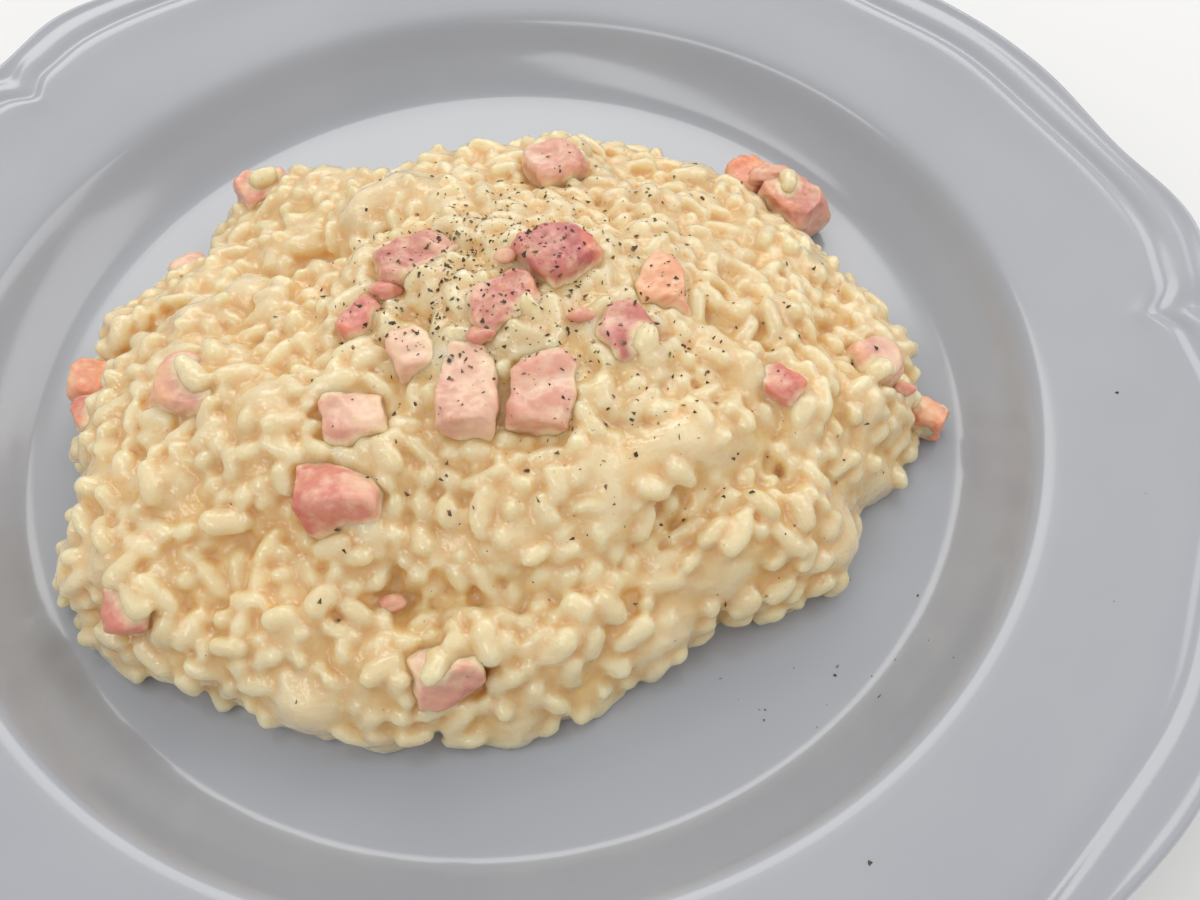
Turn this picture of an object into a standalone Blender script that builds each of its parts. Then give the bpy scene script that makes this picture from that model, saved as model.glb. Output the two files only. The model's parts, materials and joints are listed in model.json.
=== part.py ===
"""A helping of risotto with diced ham on a grey dinner plate with a moulded, five-lobed rim.

The origin is on the table under the plate's centre, +Z is up and -Y is the side that faces the diner.
"""

import math

import bmesh
import bpy
import numpy as np
from mathutils import Matrix, Vector
from mathutils.geometry import delaunay_2d_cdt

# Pieces that touch keep this gap.
GAP = 0.0003

# Plate, from the table up.
FOOT_OUTER_RADIUS = 0.0920
FOOT_INNER_RADIUS = 0.0875
FOOT_HEIGHT = 0.0022
WELL_RADIUS = 0.0912
WELL_TOP = 0.0067
SHOULDER_RADIUS = 0.1060
SHOULDER_TOP = 0.0208
RIM_RADIUS = 0.1410
RIM_TOP = 0.0286
RIM_THICKNESS = 0.0042
RIM_MIDDLE_RADIUS = 0.1180
SMOOTH_ANGLE_DEG = 40

# Rim moulding. Each lobe runs from one cusp to the next and is the same on both sides of its middle,
# so its radii are given at a few angles from the nearest cusp.
LOBES = 5
FIRST_CUSP_DEG = -7.0
LOBE_ANGLES_DEG = (0.0, 2.3, 5.5, 9.5, 16.5, 25.5, 36.0)
EDGE_RADII = ((0.0, 0.1402), (8.5, 0.1434), (19.0, 0.1399), (31.0, 0.1417), (36.0, 0.1419))
STEP_RADII = ((0.0, 0.1280), (2.5, 0.1315), (8.5, 0.1333), (26.0, 0.1309), (36.0, 0.1320))

# Heap of risotto. Its edge is read on the plate, its height from the well's floor.
HEAP_CENTRE = (0.000, -0.004)
HEAP_EDGE = (
    (0.083, -0.010),
    (0.079, 0.008),
    (0.066, 0.031),
    (0.046, 0.052),
    (0.028, 0.061),
    (0.000, 0.061),
    (-0.028, 0.060),
    (-0.043, 0.064),
    (-0.054, 0.053),
    (-0.067, 0.034),
    (-0.080, 0.022),
    (-0.082, 0.003),
    (-0.080, -0.015),
    (-0.082, -0.034),
    (-0.073, -0.046),
    (-0.052, -0.059),
    (-0.036, -0.067),
    (-0.014, -0.071),
    (0.012, -0.068),
    (0.028, -0.061),
    (0.052, -0.057),
    (0.063, -0.041),
    (0.078, -0.027),
)
HEAP_SIDE_RUN = 0.013
HEAP_SIDE_HEIGHT = 0.014
HEAP_DOME_HEIGHT = 0.018
HEAP_DOME_POWER = 1.15
# Swellings and hollows on the dome: x, y, height, radius.
HEAP_SWELLINGS = (
    (0.008, 0.004, 0.0035, 0.024),
    (-0.052, -0.014, 0.0040, 0.020),
    (-0.045, 0.042, -0.0070, 0.020),
    (0.050, -0.030, 0.0030, 0.018),
    (0.018, -0.040, 0.0035, 0.022),
    (0.070, 0.002, -0.0040, 0.014),
    (-0.020, -0.052, -0.0030, 0.016),
)
# Folds where one spoonful lies against the next: their points, and how deep and how wide they are.
HEAP_FOLDS = (
    (((-0.076, 0.010), (-0.050, 0.022), (-0.018, 0.026)), 0.0040, 0.0040),
    (((-0.024, -0.050), (-0.004, -0.056), (0.022, -0.050), (0.046, -0.036)), 0.0026, 0.0035),
    (((0.036, -0.004), (0.048, -0.020), (0.046, -0.040)), 0.0022, 0.0030),
    (((0.066, -0.006), (0.070, -0.020)), 0.0025, 0.0030),
)
# The heap's surface unrolled: how much longer it is than its plan, and the share that is the steep side.
UNROLLED = 1.16
SIDE_SHARE = 0.25
EDGE_POINT_STEP = 0.0036
EDGE_UNEVEN = 0.0011
# Its slope is measured over this step, a little inside the edge, where the side turns vertical.
SLOPE_STEP = 0.0005
SLOPE_INSET = 0.012
# Scattered points: how many are tried, how far out, and the share of the way to the edge that they reach.
SCATTER_TRIES = 40000
SCATTER_REACH = 0.108
SCATTER_SHARE = 0.955

# Rice grains: relief over the whole heap, and fused grains where they stand out.
GRAIN_LENGTH = 0.0082
GRAIN_WIDTH = 0.0037
GRAIN_SIDES = 5
GRAIN_RINGS = ((-0.30, 0.78), (0.02, 1.0), (0.32, 0.72))
GRAIN_FLATNESS = 0.86
GRAIN_SIZES = (0.86, 1.08)
RELIEF_SPACING = 0.0050
RELIEF_RIDGE = 0.0044
RELIEF_HEIGHT = 0.0015
RELIEF_SIZES = (0.6, 1.2)
HOLLOW_SPACING = 0.0031
HOLLOW_DEPTH = 0.0007
FUSED_GRAINS = 90
FUSED_SPACING = 0.0105
FUSED_RISE = 0.0020
RANDOM_SEED = 41

# Diced ham: x, y, rise of the centre above the bare heap, length, width, height, turn, tilt, roll.
HAM_PIECES = (
    (-0.0445, 0.0570, -0.0005, 0.0110, 0.0085, 0.0080, 20, 10, 0),
    (-0.0605, 0.0375, -0.0010, 0.0080, 0.0070, 0.0070, 35, 0, 10),
    (-0.0790, 0.0105, -0.0010, 0.0085, 0.0075, 0.0075, -15, 0, 0),
    (-0.0755, -0.0020, -0.0015, 0.0070, 0.0080, 0.0080, 25, 0, 0),
    (-0.0535, -0.0085, -0.0020, 0.0125, 0.0110, 0.0095, -30, 0, 0),
    (-0.0255, -0.0222, -0.0012, 0.0105, 0.0084, 0.0085, 5, -5, 0),
    (-0.0285, -0.0350, -0.0010, 0.0135, 0.0105, 0.0100, -8, -20, 0),
    (-0.0660, -0.0420, -0.0015, 0.0110, 0.0085, 0.0085, 75, 0, -15),
    (-0.0150, -0.0635, -0.0020, 0.0110, 0.0075, 0.0080, 10, -30, 0),
    (0.0180, 0.0375, -0.0010, 0.0100, 0.0095, 0.0095, 15, 5, 0),
    (0.0140, 0.0030, -0.0005, 0.0112, 0.0115, 0.0110, 38, 0, 0),
    (0.0035, -0.0065, -0.0020, 0.0125, 0.0095, 0.0095, 28, 0, 0),
    (-0.0115, 0.0092, -0.0014, 0.0150, 0.0090, 0.0090, 12, 0, 0),
    (-0.0228, -0.0022, -0.0008, 0.0090, 0.0056, 0.0066, 48, 0, 0),
    (-0.0052, -0.0212, -0.0012, 0.0090, 0.0170, 0.0095, -8, 0, 0),
    (-0.0141, -0.0117, -0.0008, 0.0068, 0.0088, 0.0075, 6, 0, 0),
    (0.0075, -0.0240, -0.0020, 0.0105, 0.0130, 0.0095, -14, 0, 0),
    (0.0325, -0.0030, -0.0010, 0.0085, 0.0115, 0.0095, -12, 0, 0),
    (0.0240, -0.0150, -0.0010, 0.0100, 0.0095, 0.0100, 34, 0, 0),
    (0.0498, -0.0250, -0.0010, 0.0080, 0.0075, 0.0085, -38, 0, 0),
    (0.0624, 0.0456, 0.0048, 0.0088, 0.0085, 0.0090, -52, 0, 0),
    (0.0699, 0.0350, 0.0061, 0.0124, 0.0105, 0.0105, -54, 0, 0),
    (0.0714, -0.0160, -0.0015, 0.0090, 0.0095, 0.0080, 20, 0, 10),
    (0.0828, -0.0229, 0.0036, 0.0065, 0.0060, 0.0065, -35, 0, 0),
)
HAM_CORNER = 0.26
HAM_UNEVEN = 0.09
HAM_POCKET_GAP = 0.00036

# Materials: base colour, roughness.
GLAZE = ((0.42, 0.43, 0.45), 0.18)
RISOTTO = ((0.80, 0.62, 0.36), 0.35)
HAM = ((0.62, 0.22, 0.18), 0.35)


def clear_scene():
    for old in list(bpy.data.objects):
        bpy.data.objects.remove(old, do_unlink=True)


def make_material(name, finish):
    colour, roughness = finish
    material = bpy.data.materials.new(name)
    material.use_nodes = True
    shader = material.node_tree.nodes["Principled BSDF"]
    shader.inputs["Base Color"].default_value = (*colour, 1.0)
    shader.inputs["Roughness"].default_value = roughness
    return material


def add_object(name, mesh, material):
    mesh.materials.clear()
    mesh.materials.append(material)
    thing = bpy.data.objects.new(name, mesh)
    bpy.context.scene.collection.objects.link(thing)
    return thing


def mesh_from(name, points, faces):
    """A mesh of these points and faces, with every face turned outwards."""
    mesh = bpy.data.meshes.new(name)
    mesh.from_pydata([tuple(p) for p in points], [], faces)
    work = bmesh.new()
    work.from_mesh(mesh)
    bmesh.ops.recalc_face_normals(work, faces=work.faces)
    work.to_mesh(mesh)
    work.free()
    return mesh


def eased(pairs, where):
    """The value at `where` on a curve that is level at each of these (place, value) pairs."""
    for (a, low), (b, high) in zip(pairs, pairs[1:]):
        if where <= b:
            share = (where - a) / (b - a)
            return low + (high - low) * (1 - math.cos(math.pi * share)) / 2
    return pairs[-1][1]


def rim_height(radius):
    """The height of the rim's top, which rises evenly outwards."""
    slope = (RIM_TOP - SHOULDER_TOP) / (RIM_RADIUS - SHOULDER_RADIUS)
    return SHOULDER_TOP + slope * (radius - SHOULDER_RADIUS)


def plate_section(from_cusp_deg):
    """The section at this angle from a cusp: (radius, height) from the top's middle round to the foot."""
    edge = eased(EDGE_RADII, from_cusp_deg)
    step = eased(STEP_RADII, from_cusp_deg)
    band = edge - step
    cove = SHOULDER_TOP - WELL_TOP
    top = [
        (WELL_RADIUS - 0.0020, WELL_TOP),
        (WELL_RADIUS + 0.0026, WELL_TOP + 0.07 * cove),
        (WELL_RADIUS + 0.0062, WELL_TOP + 0.27 * cove),
        (WELL_RADIUS + 0.0092, WELL_TOP + 0.53 * cove),
        (WELL_RADIUS + 0.0118, WELL_TOP + 0.82 * cove),
        (SHOULDER_RADIUS, SHOULDER_TOP),
        (RIM_MIDDLE_RADIUS, rim_height(RIM_MIDDLE_RADIUS)),
        (step - 0.0014, rim_height(step) + 0.0002),
        (step, rim_height(step) - 0.0007),
        (step + 0.20 * band, rim_height(step) + 0.0008),
        (step + 0.42 * band, rim_height(step) + 0.0016),
        (step + 0.66 * band, rim_height(step) + 0.0007),
        (step + 0.84 * band, rim_height(edge) + 0.0004),
        (edge - 0.0004, rim_height(edge) - 0.0004),
    ]
    under = [
        (edge, rim_height(edge) - 0.0017),
        (edge - 0.0016, rim_height(edge) - 0.0034),
        (step - 0.004, rim_height(step) - RIM_THICKNESS),
        (SHOULDER_RADIUS + 0.004, rim_height(SHOULDER_RADIUS + 0.004) - RIM_THICKNESS),
        (SHOULDER_RADIUS - 0.001, SHOULDER_TOP - 0.0105),
        (WELL_RADIUS + 0.0045, FOOT_HEIGHT + 0.0018),
        (FOOT_OUTER_RADIUS + 0.0006, FOOT_HEIGHT),
        (FOOT_OUTER_RADIUS, 0.0),
        (FOOT_INNER_RADIUS, 0.0),
        (FOOT_INNER_RADIUS - 0.0008, FOOT_HEIGHT),
    ]
    return top + under


def plate_angles():
    """Each spoke's angle, with its angle from the nearest cusp."""
    lobe = 360.0 / LOBES
    for cusp in range(LOBES):
        start = FIRST_CUSP_DEG + cusp * lobe
        for away in LOBE_ANGLES_DEG:
            yield start + away, away
        for away in LOBE_ANGLES_DEG[-2:0:-1]:
            yield start + lobe - away, away


def plate_mesh():
    """The plate's section carried round its axis, closed by a point in the middle of each side."""
    spokes = list(plate_angles())
    points = []
    for angle_deg, away_deg in spokes:
        angle = math.radians(angle_deg)
        for radius, height in plate_section(away_deg):
            points.append((radius * math.cos(angle), radius * math.sin(angle), height))
    rings = len(points) // len(spokes)
    top_middle = len(points)
    points += [(0.0, 0.0, WELL_TOP), (0.0, 0.0, FOOT_HEIGHT)]
    faces = []
    for spoke in range(len(spokes)):
        here = spoke * rings
        there = (spoke + 1) % len(spokes) * rings
        faces.append((top_middle, here, there))
        faces.append((top_middle + 1, there + rings - 1, here + rings - 1))
        for ring in range(rings - 1):
            faces.append((here + ring, here + ring + 1, there + ring + 1, there + ring))
    return mesh_from("plate", points, faces)


def edge_radius(angles):
    """How far the heap's edge is from its centre at each of these angles, on one smooth closed curve."""
    edge = np.array(HEAP_EDGE) - HEAP_CENTRE
    known = np.arctan2(edge[:, 1], edge[:, 0])
    order = np.argsort(known)
    known, radii = known[order], np.hypot(edge[:, 0], edge[:, 1])[order]
    turn = 2 * math.pi
    known = np.concatenate([known[-2:] - turn, known, known[:2] + turn])
    radii = np.concatenate([radii[-2:], radii, radii[:2]])
    slopes = np.gradient(radii, known)
    angles = (np.asarray(angles) + math.pi) % turn - math.pi
    at = np.clip(np.searchsorted(known, angles) - 1, 0, len(known) - 2)
    width = known[at + 1] - known[at]
    t = (angles - known[at]) / width
    start = (1 + 2 * t) * (1 - t) ** 2 * radii[at] + t * (1 - t) ** 2 * width * slopes[at]
    end = t**2 * (3 - 2 * t) * radii[at + 1] + t**2 * (t - 1) * width * slopes[at + 1]
    return start + end


def distance_to_line(x, y, line):
    """How far each point is from the nearest stretch of this line."""
    nearest = np.full(np.shape(x), 1.0)
    for (ax, ay), (bx, by) in zip(line, line[1:]):
        dx, dy = bx - ax, by - ay
        along = np.clip(((x - ax) * dx + (y - ay) * dy) / (dx * dx + dy * dy), 0, 1)
        nearest = np.minimum(nearest, np.hypot(x - ax - along * dx, y - ay - along * dy))
    return nearest


def heap_height(x, y):
    """The bare heap's height above the well's floor, with a steep rounded side under a low dome."""
    x, y = np.asarray(x, float), np.asarray(y, float)
    away_x, away_y = x - HEAP_CENTRE[0], y - HEAP_CENTRE[1]
    radius = np.hypot(away_x, away_y)
    edge = edge_radius(np.arctan2(away_y, away_x))
    inwards = np.clip((edge - radius) / HEAP_SIDE_RUN, 0, 1)
    side = np.sqrt(1 - (1 - inwards) ** 2)
    share = np.clip(radius / edge, 0, 1)
    dome = HEAP_DOME_HEIGHT * (1 - share**2) ** HEAP_DOME_POWER
    for sx, sy, height, spread in HEAP_SWELLINGS:
        dome = dome + height * np.exp(-((x - sx) ** 2 + (y - sy) ** 2) / spread**2)
    for line, depth, spread in HEAP_FOLDS:
        dome = dome - depth * np.exp(-((distance_to_line(x, y, line) / spread) ** 2))
    return side * (HEAP_SIDE_HEIGHT + dome)


def heap_plan(unrolled):
    """Where points of the unrolled heap lie in plan. Its outer ring turns down the steep side."""
    angle = np.arctan2(unrolled[:, 1], unrolled[:, 0])
    edge = edge_radius(angle)
    share = np.hypot(unrolled[:, 0], unrolled[:, 1]) / (edge * UNROLLED)
    inner = 1 - SIDE_SHARE
    down = np.clip((share - inner) / SIDE_SHARE, 0, 1)
    radius = np.minimum(share / inner, 1) * (edge - HEAP_SIDE_RUN)
    radius = radius + HEAP_SIDE_RUN * np.sin(down * math.pi / 2)
    around = np.stack([np.cos(angle), np.sin(angle)], axis=1)
    return radius[:, None] * around + HEAP_CENTRE, share


def heap_surface(plan):
    """Points of the bare heap above these plan points, with their outward normals."""
    inside = plan + (np.array(HEAP_CENTRE) - plan) * SLOPE_INSET
    x, y = inside[:, 0], inside[:, 1]
    slope_x = (heap_height(x + SLOPE_STEP, y) - heap_height(x - SLOPE_STEP, y)) / (2 * SLOPE_STEP)
    slope_y = (heap_height(x, y + SLOPE_STEP) - heap_height(x, y - SLOPE_STEP)) / (2 * SLOPE_STEP)
    normals = np.stack([-slope_x, -slope_y, np.ones_like(slope_x)], axis=1)
    normals /= np.linalg.norm(normals, axis=1)[:, None]
    points = np.column_stack([plan, heap_height(plan[:, 0], plan[:, 1])])
    return points, normals


def scatter(draw, spacing, most=SCATTER_TRIES, clear=None, taken=()):
    """Random points of the unrolled heap, none nearer to another or to a taken one than spacing."""
    tries = draw.uniform(-SCATTER_REACH, SCATTER_REACH, (SCATTER_TRIES, 2))
    plan, share = heap_plan(tries)
    open_tries = tries[share < SCATTER_SHARE]
    if clear is not None:
        open_tries = open_tries[[clear(place) for place in plan[share < SCATTER_SHARE]]]
    found = [np.asarray(place) for place in taken]
    start = len(found)
    cells = {}

    def cell_of(place):
        return int(place[0] // spacing), int(place[1] // spacing)

    for place in found:
        cells.setdefault(cell_of(place), []).append(place)
    for place in open_tries:
        if len(found) - start == most:
            break
        column, row = cell_of(place)
        near = [n for i in (-1, 0, 1) for j in (-1, 0, 1) for n in cells.get((column + i, row + j), ())]
        if all(math.hypot(*(place - other)) >= spacing for other in near):
            found.append(place)
            cells.setdefault((column, row), []).append(place)
    return np.array(found[start:])


def edge_points(draw):
    """Points round the unrolled heap's uneven edge."""
    mean_radius = np.hypot(*(np.array(HEAP_EDGE) - HEAP_CENTRE).T).mean()
    steps = int(2 * math.pi * mean_radius / EDGE_POINT_STEP)
    angles = np.arange(steps) * 2 * math.pi / steps
    radius = edge_radius(angles) * UNROLLED - draw.uniform(0, 2 * EDGE_UNEVEN, steps)
    return np.stack([radius * np.cos(angles), radius * np.sin(angles)], axis=1)


def heap_mesh(draw):
    """The bare heap under its relief of short ridges, one to a grain, with hollows between them."""
    grains = scatter(draw, RELIEF_SPACING)
    turns = draw.uniform(0, math.pi, len(grains))
    ridge = np.stack([np.cos(turns), np.sin(turns)], axis=1) * RELIEF_RIDGE / 2
    ridges = np.vstack([grains - ridge, grains + ridge])
    hollows = scatter(draw, HOLLOW_SPACING, taken=ridges)
    edge = edge_points(draw)
    flat = np.vstack([edge, ridges, hollows])
    around = list(range(len(edge)))
    made = delaunay_2d_cdt([Vector(p) for p in flat], [], [around], 1, 1e-7)
    flat = np.array(made[0])
    kinds = [min(found) if found else len(edge) for found in made[3]]
    plan, _ = heap_plan(flat)
    points, normals = heap_surface(plan)
    for number, kind in enumerate(kinds):
        if kind < len(edge):
            points[number, 2] = 0.0
        elif kind < len(edge) + len(ridges):
            points[number] += normals[number] * RELIEF_HEIGHT * draw.uniform(*RELIEF_SIZES)
        else:
            points[number] -= normals[number] * HOLLOW_DEPTH
    points[:, 2] = np.maximum(points[:, 2], 0.0) + WELL_TOP + GAP
    rim = sorted((n for n, kind in enumerate(kinds) if kind < len(edge)), key=kinds.__getitem__)
    middle = len(points)
    points = np.vstack([points, (*HEAP_CENTRE, WELL_TOP + GAP)])
    faces = list(made[2])
    faces += [(middle, b, a) for a, b in zip(rim, rim[1:] + rim[:1])]
    return mesh_from("risotto", points, faces)


def grain_mesh(length, width):
    """One rice grain along X: a point at each end and rings between."""
    points = [(-length / 2, 0.0, 0.0)]
    for along, size in GRAIN_RINGS:
        for side in range(GRAIN_SIDES):
            angle = 2 * math.pi * side / GRAIN_SIDES
            radius = width / 2 * size
            flat_radius = GRAIN_FLATNESS * radius
            points.append((along * length, radius * math.cos(angle), flat_radius * math.sin(angle)))
    points.append((length / 2, 0.0, 0.0))
    faces = []
    for side in range(GRAIN_SIDES):
        after = (side + 1) % GRAIN_SIDES
        faces.append((0, 1 + after, 1 + side))
        for ring in range(len(GRAIN_RINGS) - 1):
            a = 1 + ring * GRAIN_SIDES
            faces.append((a + side, a + after, a + GRAIN_SIDES + after, a + GRAIN_SIDES + side))
        last = 1 + (len(GRAIN_RINGS) - 1) * GRAIN_SIDES
        faces.append((last + side, last + after, last + GRAIN_SIDES))
    return mesh_from("grain", points, faces)


def ham_frame(piece):
    """The matrix that sets a piece of ham on the heap."""
    x, y, rise, _, _, _, turn, tilt, roll = piece
    z = WELL_TOP + GAP + float(heap_height(x, y)) + rise
    turned = Matrix.Rotation(math.radians(turn), 4, "Z")
    tilted = Matrix.Rotation(math.radians(tilt), 4, "X")
    rolled = Matrix.Rotation(math.radians(roll), 4, "Y")
    return Matrix.Translation((x, y, z)) @ turned @ tilted @ rolled


def ham_mesh(number, piece, grow):
    """An uneven dice with blunt corners, `grow` larger on every side."""
    draw = np.random.default_rng(RANDOM_SEED + number)
    sizes = np.array(piece[3:6])
    work = bmesh.new()
    for corner in ((x, y, z) for x in (-1, 1) for y in (-1, 1) for z in (-1, 1)):
        uneven = draw.uniform(-HAM_UNEVEN, HAM_UNEVEN, 3) * sizes
        at = (sizes / 2 + grow) * corner + uneven
        for axis in range(3):
            blunt = at.copy()
            blunt[axis] -= corner[axis] * HAM_CORNER * sizes[axis]
            work.verts.new(blunt)
    bmesh.ops.convex_hull(work, input=work.verts)
    mesh = bpy.data.meshes.new("ham")
    work.to_mesh(mesh)
    work.free()
    return mesh


def clear_of_ham(place):
    """Whether a grain at this place of the heap stays clear of the ham."""
    for piece in HAM_PIECES:
        reach = math.hypot(piece[3], piece[4]) / 2 + GRAIN_LENGTH / 2
        if math.hypot(place[0] - piece[0], place[1] - piece[1]) < reach:
            return False
    return True


def fuse(body, others, operation):
    """Joins these objects to the body, or cuts them from it, and removes them."""
    group = bpy.data.collections.new("tools")
    bpy.context.scene.collection.children.link(group)
    for other in others:
        bpy.context.scene.collection.objects.unlink(other)
        group.objects.link(other)
    modifier = body.modifiers.new("fuse", "BOOLEAN")
    modifier.operation = operation
    modifier.operand_type = "COLLECTION"
    modifier.collection = group
    modifier.solver = "MANIFOLD"
    bpy.context.view_layer.update()
    evaluated = body.evaluated_get(bpy.context.evaluated_depsgraph_get())
    made = bpy.data.meshes.new_from_object(evaluated)
    body.modifiers.remove(modifier)
    body.data = made
    for other in list(group.objects):
        bpy.data.objects.remove(other, do_unlink=True)
    bpy.data.collections.remove(group)


def keep_largest(body):
    """Drops any scrap that the cuts left loose."""
    work = bmesh.new()
    work.from_mesh(body.data)
    left = set(work.faces)
    shells = []
    while left:
        shell, edge = set(), [left.pop()]
        while edge:
            face = edge.pop()
            shell.add(face)
            for side in face.edges:
                for near in side.link_faces:
                    if near in left:
                        left.remove(near)
                        edge.append(near)
        shells.append(shell)
    shells.sort(key=len, reverse=True)
    for shell in shells[1:]:
        bmesh.ops.delete(work, geom=list(shell), context="FACES")
    loose = [vert for vert in work.verts if not vert.link_faces]
    bmesh.ops.delete(work, geom=loose, context="VERTS")
    work.to_mesh(body.data)
    work.free()


def add_grains(draw, material):
    """The grains that stand out of the heap, clear of the ham and of the well's floor."""
    grains = []
    plan, _ = heap_plan(scatter(draw, FUSED_SPACING, FUSED_GRAINS, clear_of_ham))
    for place, normal in zip(*heap_surface(plan)):
        turn = draw.uniform(0, math.pi)
        size = draw.uniform(*GRAIN_SIZES)
        across = Vector(normal).cross((math.cos(turn), math.sin(turn), 0.0)).normalized()
        along = across.cross(normal)
        axes = Matrix((along, across, normal)).transposed().to_4x4()
        grain = add_object("grain", grain_mesh(GRAIN_LENGTH * size, GRAIN_WIDTH * size), material)
        middle = Vector(place + normal * FUSED_RISE) + Vector((0.0, 0.0, WELL_TOP + GAP))
        low = min((axes @ vert.co).z for vert in grain.data.vertices)
        middle.z = max(middle.z, WELL_TOP + GAP - low)
        grain.matrix_world = Matrix.Translation(middle) @ axes
        grains.append(grain)
    return grains


def build_risotto(material):
    draw = np.random.default_rng(RANDOM_SEED)
    risotto = add_object("risotto", heap_mesh(draw), material)
    fuse(risotto, add_grains(draw, material), "UNION")
    cutters = []
    for number, piece in enumerate(HAM_PIECES):
        cutter = add_object("cutter", ham_mesh(number, piece, HAM_POCKET_GAP), material)
        cutter.matrix_world = ham_frame(piece)
        cutters.append(cutter)
    fuse(risotto, cutters, "DIFFERENCE")
    keep_largest(risotto)
    return risotto


def build_ham(material):
    for number, piece in enumerate(HAM_PIECES):
        ham = add_object(f"ham_{number + 1:02d}", ham_mesh(number, piece, 0.0), material)
        ham.matrix_world = ham_frame(piece)


def build_plate(material):
    plate = add_object("plate", plate_mesh(), material)
    plate.data.shade_smooth()
    plate.data.set_sharp_from_angle(angle=math.radians(SMOOTH_ANGLE_DEG))
    return plate


def main():
    clear_scene()
    build_plate(make_material("glaze", GLAZE))
    build_risotto(make_material("risotto", RISOTTO))
    build_ham(make_material("ham", HAM))


main()
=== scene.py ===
"""A plated risotto with diced ham and ground pepper: the looks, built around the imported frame."""

import json
import math

import bmesh
import bpy
import numpy as np
from mathutils import Matrix, Vector, noise
from mathutils.bvhtree import BVHTree
from mathutils.kdtree import KDTree

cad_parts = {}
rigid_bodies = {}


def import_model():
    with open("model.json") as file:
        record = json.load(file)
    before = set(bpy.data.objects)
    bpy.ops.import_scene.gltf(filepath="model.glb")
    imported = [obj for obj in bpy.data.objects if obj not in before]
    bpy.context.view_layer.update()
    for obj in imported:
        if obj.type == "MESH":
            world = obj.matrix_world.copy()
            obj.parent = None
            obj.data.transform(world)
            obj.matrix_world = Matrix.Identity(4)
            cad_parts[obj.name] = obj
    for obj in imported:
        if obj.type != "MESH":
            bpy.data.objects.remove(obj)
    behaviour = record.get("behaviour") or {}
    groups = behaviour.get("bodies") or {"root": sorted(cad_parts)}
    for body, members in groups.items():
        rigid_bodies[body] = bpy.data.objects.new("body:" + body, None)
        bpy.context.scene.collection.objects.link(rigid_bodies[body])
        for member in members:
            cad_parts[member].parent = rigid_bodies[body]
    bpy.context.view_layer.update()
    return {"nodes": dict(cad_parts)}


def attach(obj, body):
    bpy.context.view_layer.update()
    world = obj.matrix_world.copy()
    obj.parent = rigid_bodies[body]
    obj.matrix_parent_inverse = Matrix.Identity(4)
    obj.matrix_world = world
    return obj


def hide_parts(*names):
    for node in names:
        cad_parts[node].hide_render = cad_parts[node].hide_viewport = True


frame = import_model()

RANDOM_SEED = 17
TONE_SEED = 22

# Camera, at the photograph's viewing angle: its place, its turns and its lens in millimetres.
CAMERA_PLACE = (0.0, -0.1394, 0.1982)
CAMERA_TURN_DEG = (32.986, 0.677, -9.497)
CAMERA_LENS = 34.5
CAMERA_SENSOR = 36.0
CAMERA_NEAREST = 0.01

# Plate, from the table up.
FOOT_OUTER_RADIUS = 0.0920
FOOT_INNER_RADIUS = 0.0875
FOOT_HEIGHT = 0.0022
WELL_RADIUS = 0.0912
WELL_TOP = 0.0067
SHOULDER_RADIUS = 0.1060
SHOULDER_TOP = 0.0208
RIM_TOP = 0.0286
RIM_TOP_RADIUS = 0.1410
RIM_THICKNESS = 0.0042
LOBES = 5
FIRST_CUSP_DEG = -7.0
SPOKES_PER_HALF_LOBE = 18
# How much the spokes are drawn together towards a cusp.
SPOKE_CROWDING = 1.5
# The rim's edge and the step inside it: degrees from a cusp, and the radius there.
EDGE_RADII = ((0.0, 0.1402), (8.5, 0.1434), (19.0, 0.1399), (31.0, 0.1417), (36.0, 0.1419))
STEP_RADII = ((0.0, 0.1280), (2.5, 0.1315), (8.5, 0.1333), (26.0, 0.1309), (36.0, 0.1320))
# The well and its cove: radius, and the share of the cove's height.
COVE_HEIGHT = SHOULDER_TOP - WELL_TOP
COVE_CURVE = (
    (0.030, 0.0),
    (0.070, 0.0),
    (WELL_RADIUS - 0.0025, 0.0),
    (WELL_RADIUS, 0.012),
    (WELL_RADIUS + 0.0016, 0.035),
    (WELL_RADIUS + 0.0034, 0.12),
    (WELL_RADIUS + 0.0056, 0.265),
    (WELL_RADIUS + 0.0078, 0.415),
    (WELL_RADIUS + 0.0098, 0.58),
    (WELL_RADIUS + 0.0118, 0.81),
    (WELL_RADIUS + 0.0133, 0.945),
)
# Rings on the rim's plain slope.
RIM_RADII = (SHOULDER_RADIUS + 0.002, 0.116, 0.124)
# The fine groove at the step: distance out from the step, and rise over the rim.
STEP_GROOVE = ((-0.0024, -0.0001), (-0.0010, 0.0), (0.0001, -0.0003), (0.0012, 0.0))
# The moulding from the step to the edge: share of that way, and rise over the rim.
MOULDING = ((0.22, 0.0007), (0.40, 0.0012), (0.56, 0.0013), (0.70, 0.0013))
MOULDING_CREST = 0.84
# The rounded edge: distance out from the edge, and rise over the rim.
EDGE_ROUND = ((-0.0008, -0.0001), (0.0, -0.0014), (-0.0012, -0.0030))
# The underside: how far in from the step and out from the shoulder the rim has its full thickness.
UNDER_INSET = 0.004
# The underside from the cove to the middle, round the foot: radius and height.
UNDERSIDE = (
    (SHOULDER_RADIUS - 0.001, SHOULDER_TOP - 0.0105),
    (WELL_RADIUS + 0.0045, FOOT_HEIGHT + 0.0018),
    (FOOT_OUTER_RADIUS + 0.0006, FOOT_HEIGHT + 0.0004),
    (FOOT_OUTER_RADIUS + 0.0002, 0.0004),
    (FOOT_OUTER_RADIUS - 0.0006, 0.0),
    (FOOT_INNER_RADIUS + 0.0006, 0.0),
    (FOOT_INNER_RADIUS - 0.0002, 0.0004),
    (FOOT_INNER_RADIUS - 0.0008, FOOT_HEIGHT),
    (0.045, FOOT_HEIGHT),
)

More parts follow.
